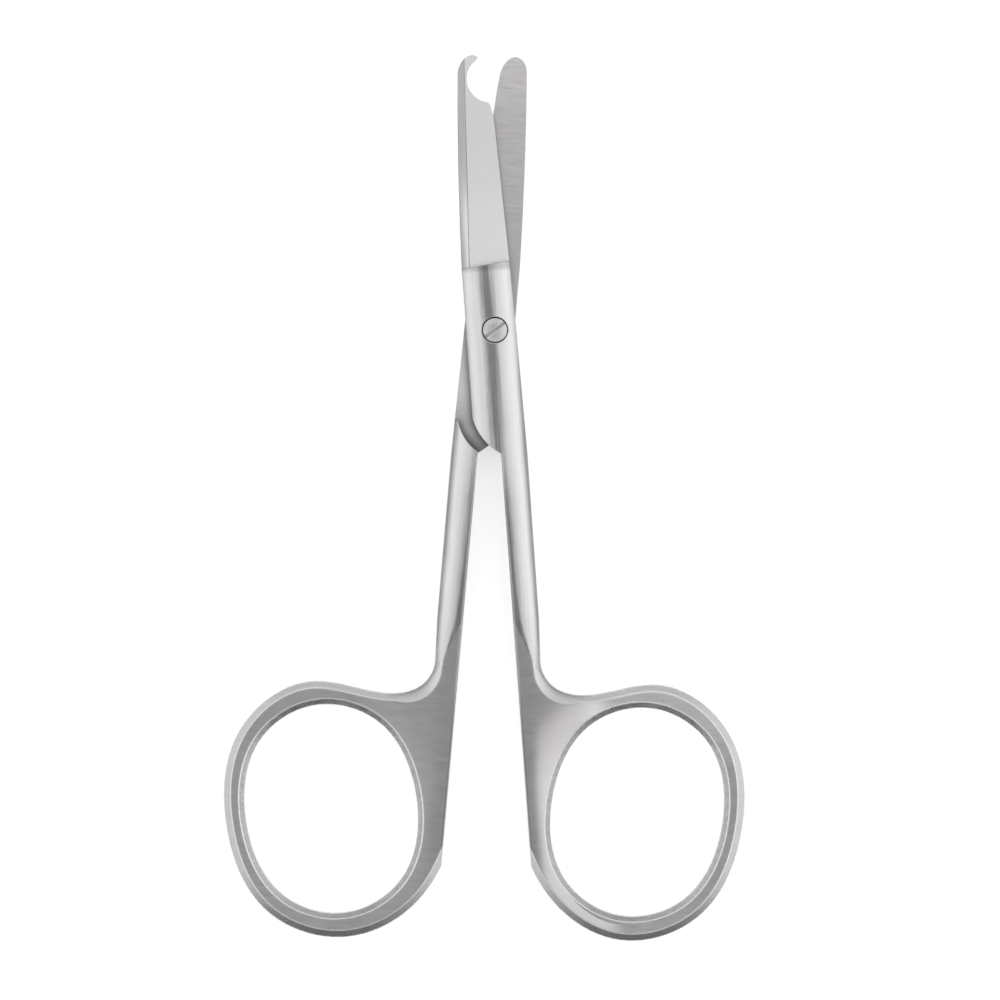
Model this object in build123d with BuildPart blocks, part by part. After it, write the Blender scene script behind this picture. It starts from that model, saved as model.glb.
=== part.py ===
from build123d import *
from math import cos, radians, sin
import os

os.makedirs("parts", exist_ok=True)

# All lengths are in millimetres and all angles in degrees.
# A half is drawn closed: x = 0 is the line the two halves share, y = 0 is the pivot,
# +y runs to the blade tips, and z = 0 is the plane the two blades shear on.

# Pose and joint
rest_opening = 9.25         # angle between the two halves in the resting pose
pivot_offset = 0.47         # pivot axis, measured from the shared line
joint_gap = 0.02            # each half's flat joint face, measured from the shear plane

# Crowned joint boss
boss_rise = 1.45            # crest of the boss above the shear plane
crest_left = 0.32           # the narrow flat along the crest reaches this far to the left
crest_right = 0.17          # and this far to the right of the shared line
boss_left = 2.45            # side of the boss away from its own handle
boss_right = 2.65           # side of the boss on its own handle's side, beside the pivot
boss_wall = 0.42            # straight side left under the crown
crown_bulge = 0.24          # how far the crowned sides bow out of straight
boss_end_left = 6.45        # end of the boss at the spine
boss_end_right = 6.95       # end of the boss at the cutting edge
shoulder_drop = 9.0         # start of the rounded shoulder, down from the pivot
shoulder_length = 3.6       # length of the shoulder, down to the crotch
shoulder_bow = 0.42         # bow of the shoulder curve
step_gap = 0.5              # joint step, measured from the other half's shoulder
step_outer_drop = 0.2       # outer end of the joint step below the start of the shoulder
step_round = 0.06           # hollow left in the corner of the joint step

# Handle shank
shank_inner = 0.16          # flat inner side of shank and ring, out from the shared line
shank_overlap = 0.4         # how far the boss runs on below the crotch
shank_outer = 2.86          # outer side of the shank at its top
shank_length = 16.5         # from the top of the shank to where it flattens into the web
shank_low_outer = 2.80      # outer side of the shank there
shank_low_rise = 1.25       # half thickness of the shank there
shank_low_crest = 0.82      # end of the flat along the crest there
shank_low_bulge = 0.17      # bow of the crowned side there

# Web and finger ring
web_length = 4.6            # from the shank to where the neck curve starts
neck_outer = 2.62           # outer side of the neck there
neck_radius = 3.45          # hollow curve between neck and ring
neck_sweep = 62.0           # how far round that curve runs before the ring takes over
neck_bulge = 0.02           # bow left in the bevel at the neck
scoop_width = 1.15          # widest bevel in the corner between neck and ring
scoop_shift = 1.0           # how much closer to the corner its centre lies than the neck curve's
scoop_turn = 56.0           # direction of that shift, down from the -x side
ring_rise = 1.25            # half thickness of web and ring
ring_half_length = 13.15    # outer half length of the ring
ring_half_width = 10.80     # outer half width of the ring
ring_fullness = 0.725       # diagonal points of ring and hole (0.707 is a plain ellipse)
ring_lean = 13.5            # lean of the ring's long axis
ring_drop = 0.07            # top of that axis below the end of the neck curve
hooked_ring_out = 0.53      # the hooked half's ring stands this far out of the shared line
plain_ring_out = 1.05       # and the plain half's ring this far
end_wall = 2.50             # rim of the ring at its ends
side_wall = 2.06            # rim of the ring at its sides
ring_bevel = 0.70           # width of the bevel round the outside, seen from above
ring_bevel_drop = 0.45      # and how far it falls
hole_bevel = 0.58           # width of the bevel round the finger hole
hole_bevel_drop = 0.5       # and how far it falls
heel = (1.60, -7.70)        # rim point below the flat side, from the ring's centre height
flat_end = (0.0, -4.4)      # where the rim passes the flat side
flank = (-1.3, -0.5)        # where the ring blank ends beyond the flat side

# Blades, with the points of their tips measured from the end of the blade
blade_root = 0.95           # how far the blade reaches back into the boss
blade_length = 28.4         # from the pivot to the end of the blade's ground faces
root_cut = 2.45             # cutting edge at the end of the boss
far_spine = -1.34           # spine edge at the end of the ground faces
far_cut = 1.3               # cutting edge there
spine_bow = 0.13            # bow of the spine
spine_strip = 0.72          # width of the bevelled strip along the spine
spine_strip_drop = 0.36     # fall of that strip
recess_run = 0.06           # width of the slope from the strip down into the ground face
root_recess = 0.11          # depth of the ground face below the strip at the root
far_recess = 0.02           # and at the end of the ground faces
root_back = 0.95            # thickness behind the ground face at the root
far_back = 0.70             # and at the far end
root_edge = 0.38            # thickness left at the cutting edge at the root
far_edge = 0.28             # and at the far end
spine_end = (-1.42, -2.1)   # where the spine runs into the rounded tip
spine_dir = (0.08, 1)       # and the way it heads there

# Tip of the hooked blade
hook_land = (1.93, -6.75)   # the cutting edge ends here
hook_lip = (1.66, -5.46)    # and turns into the mouth of the hook here
mouth_low = (1.45, -5.2)    # lower corner of the mouth
mouth_curve = ((0.11, -4.45), (-0.52, -2.95), (-0.15, -1.56))
beak_inner = (0.4, -0.98)   # inner side of the beak
beak_tip = (0.78, -0.6)     # point of the beak
beak_dir = (0.4, -0.9)      # and the way its outline heads there
beak_crown = (0.3, -0.3)    # highest point of the hooked blade
beak_back = (-0.88, -0.85)  # back of the beak

# Rounded tip of the plain blade
plain_cut_end = (1.50, -4.2)    # the cutting edge runs straight to here
plain_tip_curve = ((-1.08, -1.0), (-0.15, -0.47), (0.95, -1.28), (1.36, -2.7))

# Pivot screw
thread_diameter = 1.50      # end screwed into the plain half
thread_gap = 0.01           # gap round the screwed end
end_bevel = 0.12            # bevel round the flat end
bearing_shoulder = 0.15     # step from the screwed end out to the bearing
bearing_gap = 0.025         # running gap round the bearing the hooked half turns on
head_overhang = 0.33        # step from the bearing out to the slotted head
head_gap = 0.11             # gap round the head in its seat
seat_rise = 0.72            # seat of the head above the shear plane
seat_gap = 0.02             # gap between head and seat, which lets the halves turn
head_rise = 1.40            # middle of the head above the shear plane
head_dome = 0.16            # fall of the domed head from its middle to its rim
slot_width = 0.42
slot_depth = 0.34
slot_turn = 37.0            # direction of the slot from +x

past = 3.0                  # how far blanks and cutters run past a finished edge
skirt = 0.3                 # how far a long section runs past the outline that trims it

# Values that follow from the sizes above
crotch_y = -shoulder_drop - shoulder_length
shank_top_y = crotch_y - shank_overlap
shank_low_y = shank_top_y - shank_length
neck_y = shank_low_y - web_length
neck_end_y = neck_y - neck_radius * sin(radians(neck_sweep))
ring_y = neck_end_y - ring_drop - ring_half_length * cos(radians(ring_lean))
blade_start_y = boss_end_left - blade_root
bearing_diameter = thread_diameter + 2 * bearing_shoulder
head_diameter = bearing_diameter + 2 * head_overhang

# The hooked half turns by plus half the opening about the pivot, the plain one by minus,
# and the plain half is the other one's pattern turned over, so its frame looks down.
shear_z = boss_rise
turn_x = cos(radians(rest_opening / 2))
turn_y = sin(radians(rest_opening / 2))
hooked_frame = Plane(
    origin=(-pivot_offset * turn_x, -pivot_offset * turn_y, shear_z),
    x_dir=(turn_x, turn_y, 0),
    z_dir=(0, 0, 1),
)
plain_frame = Plane(
    origin=(-pivot_offset * turn_x, pivot_offset * turn_y, shear_z),
    x_dir=(-turn_x, turn_y, 0),
    z_dir=(0, 0, -1),
)


def across(frame, y):
    """Plane square to a half's length at y, with its own y along the thickness."""
    return Plane(
        origin=frame.from_local_coords(Vector(0, y, 0)),
        x_dir=frame.x_dir,
        z_dir=-frame.y_dir,
    )


def bowed(start, end, bow):
    """Arc between two points, bowed to the left of the way from start to end."""
    along = Vector(*end) - Vector(*start)
    side = Vector(-along.Y, along.X).normalized() * bow
    middle = (Vector(*start) + Vector(*end)) * 0.5 + side
    return ThreePointArc(start, (middle.X, middle.Y), end)


def from_tip(point):
    """Point of a blade's outline, given from the end of the blade."""
    return (point[0], blade_length + point[1])


def from_ring(point):
    """Point of a ring's outline, given from the ring's centre height."""
    return (point[0], ring_y + point[1])


def oval(out, half_length, half_width, turns):
    """Points round the ring's leaning oval, each by its direction across and along it."""
    centre_x = out + ring_half_width
    lean = radians(ring_lean)
    points = []
    for side, end in turns:
        share = ring_fullness if side and end else 1
        u = half_width * share * side
        v = half_length * share * end
        points.append((
            centre_x + u * cos(lean) + v * sin(lean),
            ring_y - u * sin(lean) + v * cos(lean),
        ))
    return points


def boss_section(frame):
    """Crowned cross section of the joint boss, the same above and below."""
    left = -boss_left - skirt
    with BuildSketch(across(frame, shank_top_y)) as section:
        with BuildLine():
            Line((left, -boss_wall), (left, boss_wall))
            bowed((left, boss_wall), (-crest_left, boss_rise), crown_bulge)
            Line((-crest_left, boss_rise), (crest_right, boss_rise))
            bowed((crest_right, boss_rise), (shank_outer, boss_wall), crown_bulge)
            Line((shank_outer, boss_wall), (shank_outer, -boss_wall))
            bowed((shank_outer, -boss_wall), (crest_right, -boss_rise), crown_bulge)
            Line((crest_right, -boss_rise), (-crest_left, -boss_rise))
            bowed((-crest_left, -boss_rise), (left, -boss_wall), crown_bulge)
        make_face()
    return section.sketch


def boss_outline(frame):
    """Plan of the joint boss: straight sides and a rounded shoulder beside the crotch."""
    with BuildSketch(frame.offset(-past)) as plan:
        with BuildLine():
            Polyline(
                (-boss_left, -shoulder_drop),
                (-boss_left, boss_end_left),
                (root_cut, boss_end_right),
                (boss_right, 0),
                (shank_outer, shank_top_y),
                (shank_inner, shank_top_y),
                (shank_inner, crotch_y),
            )
            bowed((shank_inner, crotch_y), (-boss_left, -shoulder_drop), shoulder_bow)
        make_face()
    return plan.sketch


def joint_relief(frame):
    """Plan of the space the other half's boss lies in, down to the joint step."""
    far = shank_outer + past
    top = blade_length + past
    step_start = (0, crotch_y)
    step_end = (boss_left, -shoulder_drop - step_gap)
    with BuildSketch(frame.offset(joint_gap)) as plan:
        with BuildLine():
            bowed(step_start, step_end, -shoulder_bow)
            Polyline(
                step_end,
                (far, -shoulder_drop - step_outer_drop),
                (far, top),
                (-far, top),
                (-far, crotch_y),
                step_start,
            )
        make_face()
    return plan.sketch


def joint_boss(frame):
    """Crowned boss with its flat joint face and the hollowed corner of its joint step."""
    with BuildPart() as boss:
        extrude(boss_section(frame), amount=shank_top_y - boss_end_right - past)
        extrude(boss_outline(frame), amount=2 * past, mode=Mode.INTERSECT)
        extrude(joint_relief(frame), amount=-2 * past, mode=Mode.SUBTRACT)
        corner = []
        for edge in boss.edges().filter_by(GeomType.CIRCLE):
            middle = frame.to_local_coords(edge @ 0.5)
            if abs(middle.Z - joint_gap) < joint_gap / 2 and middle.X > 0:
                corner.append(edge)
        fillet(corner, min(step_round, boss_wall - joint_gap))
    return boss.part


def shank_section(frame, y, outer, rise, crest, wall, bulge):
    """D-shaped cross section with a flat inner side and a flat along the crest."""
    with BuildSketch(across(frame, y)) as section:
        with BuildLine():
            bowed((crest, rise), (outer, wall), bulge)
            Line((outer, wall), (outer, -wall))
            bowed((outer, -wall), (crest, -rise), bulge)
            Polyline((crest, -rise), (shank_inner, -rise), (shank_inner, rise), (crest, rise))
        make_face()
    return section.sketch


def ring_blank(frame, out):
    """Plan of web and ring, bulging past the flat inner side they are cut back to."""
    centre = neck_outer + neck_radius
    half, full = radians(neck_sweep / 2), radians(neck_sweep)
    neck_middle = (centre - neck_radius * cos(half), neck_y - neck_radius * sin(half))
    neck_end = (centre - neck_radius * cos(full), neck_end_y)
    leaving = (sin(full), -cos(full))
    turns = [(0, 1), (1, 1), (1, 0), (1, -1), (0, -1)]
    rim = oval(out, ring_half_length, ring_half_width, turns)
    side = [from_ring(point) for point in (heel, flat_end, flank)]
    arriving = (Vector(*side[2]) - Vector(*side[1])).normalized()
    with BuildSketch(frame.offset(-ring_rise)) as plan:
        with BuildLine():
            ThreePointArc((neck_outer, neck_y), neck_middle, neck_end)
            Spline(neck_end, *rim, *side, tangents=[leaving, arriving], tangent_scalars=(1, 1))
            Polyline(side[2], (side[2][0], neck_y), (neck_outer, neck_y))
        make_face()
    return plan.sketch


def hole_outline(frame, out, rise, spread):
    """Plan of the finger hole at one height, spread wider than its narrowest part."""
    length = ring_half_length - end_wall + spread
    width = ring_half_width - side_wall + spread
    outer_half = oval(out, length, width, [(-1, 0), (-1, 1), (0, 1), (1, 1), (1, 0)])
    inner_half = oval(out, length, width, [(1, 0), (1, -1), (0, -1), (-1, -1), (-1, 0)])
    lean = radians(ring_lean)
    up = (sin(lean), cos(lean))
    down = (-sin(lean), -cos(lean))
    with BuildSketch(frame.offset(rise)) as plan:
        with BuildLine():
            Spline(*outer_half, tangents=[up, down], tangent_scalars=(1, 1))
            Spline(*inner_half, tangents=[down, up], tangent_scalars=(1, 1))
        make_face()
    return plan.sketch


def flat_side_cut(frame):
    """Plan of what is ground away beyond the flat inner side of web and ring."""
    top = neck_y + past
    low = ring_y - ring_half_length
    cut = shank_inner - past
    with BuildSketch(frame.offset(-past)) as plan:
        with BuildLine():
            Polyline((shank_inner, top), (shank_inner, low), (cut, low), (cut, top), close=True)
        make_face()
    return plan.sketch


def corner_scoop(frame, side):
    """Two circles of the cone that widens the bevel in the corner of the neck."""
    corner = radians(scoop_turn)
    x = neck_outer + neck_radius - scoop_shift * cos(corner)
    y = neck_y - scoop_shift * sin(corner)
    circles = []
    for rise, spread in ((ring_bevel_drop, 2 * scoop_width), (-ring_bevel_drop, 0)):
        with BuildSketch(frame.offset(side * (ring_rise + rise))) as circle:
            with Locations((x, y)):
                Circle(neck_radius - scoop_shift + spread)
        circles.append(circle.sketch)
    return circles


def web_and_ring(frame, out):
    """Flat web and finger ring with bevelled rims and a flat inner side."""
    with BuildPart() as ring:
        extrude(ring_blank(frame, out), amount=2 * ring_rise)
        for face in ring.faces().filter_by(Axis.Z):
            rims = [edge for edge in face.edges() if edge.geom_type != GeomType.LINE]
            chamfer(rims, length=ring_bevel, length2=ring_bevel_drop, reference=face)
        extrude(hole_outline(frame, out, -ring_rise, 0), amount=2 * ring_rise, mode=Mode.SUBTRACT)
        for side in (1, -1):
            loft(corner_scoop(frame, side), ruled=True, mode=Mode.SUBTRACT)
            narrow = hole_outline(frame, out, side * (ring_rise - hole_bevel_drop), 0)
            wide = hole_outline(frame, out, side * (ring_rise + hole_bevel_drop), 2 * hole_bevel)
            loft([narrow, wide], ruled=True, mode=Mode.SUBTRACT)
        extrude(flat_side_cut(frame), amount=2 * past, mode=Mode.SUBTRACT)
    return ring.part


def blade_section(frame, y, spine, cut, back, edge, recess):
    """Cross section of a blade: bevelled strip along the spine, ground face to the edge."""
    ridge = spine + spine_strip
    strip_fall = spine_strip_drop / spine_strip
    face_fall = (back - edge) / (cut - ridge - recess_run)
    with BuildSketch(across(frame, y)) as section:
        with BuildLine():
            Polyline(
                (spine - skirt, joint_gap),
                (spine - skirt, back + recess - spine_strip_drop - strip_fall * skirt),
                (ridge, back + recess),
                (ridge + recess_run, back),
                (cut + skirt, edge - face_fall * skirt),
                (cut + skirt, joint_gap),
                close=True,
            )
        make_face()
    return section.sketch


def blade_body(frame, outline):
    """Tapered blade with its ground faces, trimmed to its plan outline."""
    with BuildPart() as blade:
        loft([
            blade_section(
                frame, blade_start_y, -boss_left, root_cut, root_back, root_edge, root_recess
            ),
            blade_section(
                frame, blade_length, far_spine, far_cut, far_back, far_edge, far_recess
            ),
        ], ruled=True)
        extrude(outline, amount=past, mode=Mode.INTERSECT)
    return blade.part


def blade_outline(frame, tip):
    """Plan of a blade from its root, round the given curves of its tip."""
    with BuildSketch(frame) as plan:
        with BuildLine():
            Line((-boss_left, blade_start_y), (-boss_left, boss_end_left))
            bowed((-boss_left, boss_end_left), from_tip(spine_end), spine_bow)
            end = tip()
            Polyline(
                end,
                (root_cut, boss_end_right),
                (root_cut, blade_start_y),
                (-boss_left, blade_start_y),
            )
        make_face()
    return plan.sketch


def hooked_tip():
    """Round the beak and through the open mouth of the hook; ends on the cutting edge."""
    beak = [from_tip(point) for point in (spine_end, beak_back, beak_crown, beak_tip)]
    mouth = [from_tip(point) for point in (beak_inner, *reversed(mouth_curve), mouth_low)]
    Spline(*beak, tangents=[spine_dir, beak_dir], tangent_scalars=(1, 1))
    Line(beak[-1], mouth[0])
    Spline(*mouth)
    Polyline(mouth[-1], from_tip(hook_lip), from_tip(hook_land))
    return from_tip(hook_land)


def plain_tip():
    """Round the blunt tip; ends on the cutting edge."""
    curve = [from_tip(point) for point in (spine_end, *plain_tip_curve, plain_cut_end)]
    edge_dir = (Vector(root_cut, boss_end_right) - Vector(*curve[-1])).normalized()
    Spline(*curve, tangents=[spine_dir, edge_dir], tangent_scalars=(1, 1))
    return curve[-1]


def forged_half(frame, tip, out):
    """One half without its screw hole: blade, boss, shank, web and ring in one piece."""
    low_rise, low_crest = shank_low_rise, shank_low_crest
    wall = ring_rise - ring_bevel_drop
    crest = neck_outer - ring_bevel
    top = shank_section(
        frame, shank_top_y, shank_outer, boss_rise, crest_right, boss_wall, crown_bulge
    )
    low = shank_section(
        frame, shank_low_y, shank_low_outer, low_rise, low_crest, boss_wall, shank_low_bulge
    )
    neck = shank_section(frame, neck_y, neck_outer, ring_rise, crest, wall, neck_bulge)
    boss = joint_boss(frame)
    ring = web_and_ring(frame, out)
    blade = blade_body(frame, blade_outline(frame, tip))
    with BuildPart() as half:
        add(boss)
        loft([top, low], ruled=True)
        loft([low, neck], ruled=True)
        add(ring)
        add(blade)
    return half.part


hooked_blank = forged_half(hooked_frame, hooked_tip, hooked_ring_out)
plain_blank = forged_half(plain_frame, plain_tip, plain_ring_out)

with BuildPart() as hooked_half:
    add(hooked_blank)
    with BuildSketch(Plane.XY.offset(shear_z)):
        Circle(bearing_diameter / 2 + bearing_gap)
    extrude(amount=boss_rise, mode=Mode.SUBTRACT)
    with BuildSketch(Plane.XY.offset(shear_z + seat_rise)):
        Circle(head_diameter / 2 + head_gap)
    extrude(amount=boss_rise, mode=Mode.SUBTRACT)
hooked_half.part.label = "hooked_half"
export_step(hooked_half.part, "parts/hooked_half.step")

with BuildPart() as plain_half:
    add(plain_blank)
    with BuildSketch(Plane.XY):
        Circle(thread_diameter / 2 + thread_gap)
    extrude(amount=shear_z, both=True, mode=Mode.SUBTRACT)
plain_half.part.label = "plain_half"
export_step(plain_half.part, "parts/plain_half.step")

screw_profile = [
    (0, 0),
    (thread_diameter / 2 - end_bevel, 0),
    (thread_diameter / 2, end_bevel),
    (thread_diameter / 2, shear_z - joint_gap),
    (bearing_diameter / 2, shear_z - joint_gap),
    (bearing_diameter / 2, shear_z + seat_rise + seat_gap),
    (head_diameter / 2, shear_z + seat_rise + seat_gap),
    (head_diameter / 2, shear_z + head_rise - head_dome),
]
head_middle = (0, shear_z + head_rise)

with BuildPart() as pivot_screw:
    with BuildSketch(Plane.XZ):
        with BuildLine():
            Polyline(*screw_profile)
            TangentArc(head_middle, screw_profile[-1], tangent=(1, 0))
            Line(head_middle, screw_profile[0])
        make_face()
    revolve(axis=Axis.Z)
    with BuildSketch(Plane.XY.offset(shear_z + head_rise - slot_depth)):
        Rectangle(2 * head_diameter, slot_width, rotation=slot_turn)
    extrude(amount=boss_rise, mode=Mode.SUBTRACT)
pivot_screw.part.label = "pivot_screw"
export_step(pivot_screw.part, "parts/pivot_screw.step")
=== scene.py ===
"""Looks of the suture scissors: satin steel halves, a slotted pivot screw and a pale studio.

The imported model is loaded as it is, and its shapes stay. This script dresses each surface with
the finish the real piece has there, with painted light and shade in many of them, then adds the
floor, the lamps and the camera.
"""

import logging
import math
from dataclasses import dataclass, field, replace
from enum import Enum

import bpy
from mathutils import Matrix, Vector


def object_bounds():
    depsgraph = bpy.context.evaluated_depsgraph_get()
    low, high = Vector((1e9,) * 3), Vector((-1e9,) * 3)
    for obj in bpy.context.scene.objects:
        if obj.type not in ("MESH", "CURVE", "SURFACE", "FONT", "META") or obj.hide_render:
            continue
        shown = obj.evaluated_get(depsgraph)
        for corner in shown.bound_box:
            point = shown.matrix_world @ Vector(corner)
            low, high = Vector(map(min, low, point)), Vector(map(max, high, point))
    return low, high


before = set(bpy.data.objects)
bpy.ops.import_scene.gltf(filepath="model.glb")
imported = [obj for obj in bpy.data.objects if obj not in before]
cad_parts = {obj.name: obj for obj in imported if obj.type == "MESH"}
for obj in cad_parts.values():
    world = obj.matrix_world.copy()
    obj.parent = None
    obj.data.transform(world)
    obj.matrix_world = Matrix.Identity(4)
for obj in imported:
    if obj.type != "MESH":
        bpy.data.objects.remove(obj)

CAD_BOX: tuple[Vector, Vector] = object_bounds()
MM: float = 0.001
LOG = logging.getLogger("suture_scissors")

# Short names of types: a value in a shader, two or three numbers, and a row of stops.
Socket = bpy.types.NodeSocket
Pair = tuple[float, float]
Triple = tuple[float, float, float]
Stops = tuple[Pair, ...]

# How the shader nodes read noise, rings, edges, and the corners where painted shade goes.
NODE_SAMPLES: int = 8
STREAK_DETAIL: float = 1.5
RINGS_A_UNIT: float = 20.0
RING_WAVER: float = 0.8
NOISE_REACH: Pair = (0.25, 0.75)
COLOR_REACH: Pair = (0.30, 0.70)
EDGE_REACH: Pair = (0.970, 0.998)
CONTACT_REACH: Pair = (0.35, 0.95)
CONTACT_LEVELS: Pair = (0.30, 1.0)


class Half(Enum):
    """The two halves by their node names."""

    HOOKED = "hooked_half"
    PLAIN = "plain_half"


class Grain(Enum):
    """Which way the fine lines of a finish run on a half, as an angle from its length."""

    ALONG = 0.0
    ACROSS = 90.0
    SLANTED = 72.0


class Surface(Enum):
    """The kinds of surface that a half shows, by the slot each takes."""

    BODY = 0
    SHANK = 1
    WEB = 2
    RIM = 3
    HOLE = 4
    WALL = 5
    GROUND = 6
    SPINE = 7
    INNER = 8
    STEP = 9
    SEAT = 10


class Axis(Enum):
    """What a shade is measured along: an axis of the half, or out from the neck's hollow."""

    ACROSS = "X"
    ALONG = "Y"
    HOLLOW = "hollow"


@dataclass(frozen=True)
class Tone:
    """Colours of a finish, its roughness, and how far that swings over the piece."""

    light: Triple
    dark: Triple
    roughness: float
    roughness_swing: float = 0.05


@dataclass(frozen=True)
class Lines:
    """Fine brushing or grinding lines, and coarser ones under them.

    Attributes:
        grain: Which way they run.
        pitch: Distance from one fine line to the next.
        length: How long a fine line is.
        slope: Steepness of their sides.
        coarse_pitch: Pitch of the coarse lines in fine pitches.
        coarse_length: Length of a coarse line in fine lengths.
        coarse_height: Height of the coarse lines in fine heights.
    """

    grain: Grain
    pitch: float
    length: float
    slope: float
    coarse_pitch: float = 3.0
    coarse_length: float = 1.5
    coarse_height: float = 2.0


@dataclass(frozen=True)
class Shade:
    """Levels of painted light and shade along one axis of a half, all over or on a stretch of
    its length.
    """

    axis: Axis
    stops: Stops
    stretch: Stops = ()


@dataclass(frozen=True)
class HalfPlace:
    """Where a half's own frame lies in the part's frame.

    Attributes:
        turn: Angle of the half's length from +Y, anticlockwise, in radians.
        side: 1 for the half that lies as the pattern does, -1 for the one turned over.
        pivot_offset: How far the pivot lies from the half's own middle line.
        shear_height: Height of the plane where the halves meet.
    """

    turn: float
    side: float
    pivot_offset: float
    shear_height: float


@dataclass(frozen=True)
class SteelFinish:
    """One steel finish of a half.

    Attributes:
        name: Name of its material.
        tone: Its colours and roughness.
        lines: Its brushing or grinding lines.
        weights: Shares of fine lines, coarse lines and clouds in its colour.
        edge_radius: How far its sharp edges are rounded.
        wave_size: Size of the soft waves and clouds.
        wave_slope: Steepness of the waves.
        wave_detail: Octaves of finer waves.
        stretch: How far reflections are drawn out across the lines.
        edge_highlight: How much lighter the rounded edges are painted, a painted highlight.
        neck: Where the edges' radius changes, along the half.
        neck_radius: Their radius above the neck, where it is another.
        contact_shade_reach: How far painted shade reaches from a wall or touching piece, 0 for
            none.
        contact_shade_stretch: Share of that painted shade along the half.
        hollow_centre: Centre of the hollow curve at the neck.
        shades: Where light and shade are painted into it, lighter or darker.
    """

    name: str
    tone: Tone
    lines: Lines
    weights: Triple = (0.40, 0.15, 0.45)
    edge_radius: float = 0.10 * MM
    wave_size: float = 7.0 * MM
    wave_slope: float = 0.012
    wave_detail: float = 2.0
    stretch: float = 0.45
    edge_highlight: float = 0.0
    neck: Pair = (-41.0 * MM, -35.0 * MM)
    neck_radius: float | None = None
    contact_shade_reach: float = 0.0
    contact_shade_stretch: Stops = ((0.0, 1.0), (1.0, 1.0))
    hollow_centre: Pair = (6.07 * MM, -34.1 * MM)
    shades: tuple[Shade, ...] = ()

    def material(self, half: HalfPlace) -> bpy.types.Material:
        """Builds the finish for one half.

        Args:
            half: Where the half's own frame lies.

        Returns:
            The new material.
        """
        made, graph = Graph.material(self.name)
        shader = graph.steel_shader()
        own = graph.own_place(half)
        lines = self.lines
        angle = math.radians(lines.grain.value)
        place = graph.turned(own, -angle)
        fine = graph.streaks(place, lines.pitch, lines.length)
        coarse = graph.streaks(
            place, lines.pitch * lines.coarse_pitch, lines.length * lines.coarse_length
        )
        cloud = graph.noise(own, (1.0 / self.wave_size,) * 3, self.wave_detail)
        shade = graph.weigh(tuple(zip((fine, coarse, cloud), self.weights)))
        color = graph.blend_colors(shade, self.tone.dark, self.tone.light)
        color = self.shaded(graph, own, color)
        soft = graph.soft_edges(self.softness(graph, own))
        # Painted highlight along the rounded edges.
        if self.edge_highlight:
            color = graph.scaled(color, graph.edge_highlight_share(soft, self.edge_highlight))
        graph.link(color, shader, "Base Color")
        rough = graph.spread(coarse, self.tone.roughness, self.tone.roughness_swing)
        graph.link(rough, shader, "Roughness")
        normal = self.formed(graph, own, soft)
        normal = graph.bump(cloud, self.wave_slope * self.wave_size, normal)
        height = lines.slope * lines.pitch
        normal = graph.bump(coarse, height * lines.coarse_height, normal)
        normal = graph.bump(fine, height, normal)
        graph.link(normal, shader, "Normal")
        shader.inputs["Anisotropic"].default_value = self.stretch
        graph.link(graph.direction(half, angle), shader, "Tangent")
        return made

    def shaded(self, graph: "Graph", own: Socket, color: Socket) -> Socket:
        """Paints light and shade into the colour where the finish has shades, and painted shade
        beside a touching piece.

        Args:
            graph: The tree to build in.
            own: Place in the half's own frame.
            color: The even colour.

        Returns:
            The colour with its painted light and shade.
        """
        # Each shade paints lighter and darker bands into the colour: painted light and shade.
        for shade in self.shades:
            if shade.axis is Axis.HOLLOW:
                place = graph.out_from(own, self.hollow_centre)
            else:
                place = graph.part(own, shade.axis.value)
            level = graph.steps(place, shade.stops)
            if shade.stretch:
                level = graph.kept(level, graph.steps(graph.part(own, "Y"), shade.stretch))
            color = graph.scaled(color, level)
        # Painted shade beside walls and touching pieces.
        if self.contact_shade_reach:
            share = graph.steps(graph.part(own, "Y"), self.contact_shade_stretch)
            color = graph.scaled(color, graph.kept(graph.contact(self.contact_shade_reach), share))
        return color

    def softness(self, graph: "Graph", own: Socket) -> Socket | float:
        """Radius of the soft edges, another one above the neck where the finish says so.

        Args:
            graph: The tree to build in.
            own: Place in the half's own frame.

        Returns:
            The radius.
        """
        if self.neck_radius is None:
            return self.edge_radius
        return graph.rise(graph.part(own, "Y"), self.neck, (self.edge_radius, self.neck_radius))

    def formed(self, graph: "Graph", own: Socket, normal: Socket) -> Socket:
        """Leaves the normal as the shape gives it."""
        return normal


@dataclass(frozen=True)
class HolePolish:
    """How polishing rounds the web down to the finger hole.

    Attributes:
        middle: Middle of the hole.
        lean: How far its oval leans, in radians.
        half_width: Half its width.
        half_length: Half its length.
        reach: How far out from its rim the surface is rounded.
        fall: How much lower the rim is than the flat of the web.
        start: Reach across the half over which the rounding sets in.
        side: Reach across the half over which it fades out.
    """

    middle: Pair
    lean: float
    half_width: float
    half_length: float
    reach: float
    fall: float
    start: Pair
    side: Pair


@dataclass(frozen=True)
class WebFinish(SteelFinish):
    """Brushed finish of the web, polished round towards the finger hole."""

    polish: HolePolish | None = None

    def formed(self, graph: "Graph", own: Socket, normal: Socket) -> Socket:
        """Rounds the web down to the finger hole.

        Args:
            graph: The tree to build in.
            own: Place in the half's own frame.
            normal: The normal to change.

        Returns:
            The new normal.
        """
        if self.polish is None:
            return normal
        polish = self.polish
        oval = graph.oval_place(own, polish)
        ends = (1.0, 1.0 + polish.reach / polish.half_width)
        left = graph.ramp(oval, ends, (1.0, 0.0))
        across = graph.part(own, "X")
        near = graph.rise(across, polish.side, (-polish.fall, 0.0))
        inner = graph.rise(across, polish.start, (0.0, 1.0))
        return graph.bump(graph.product(left, left), graph.product(near, inner), normal)


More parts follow.
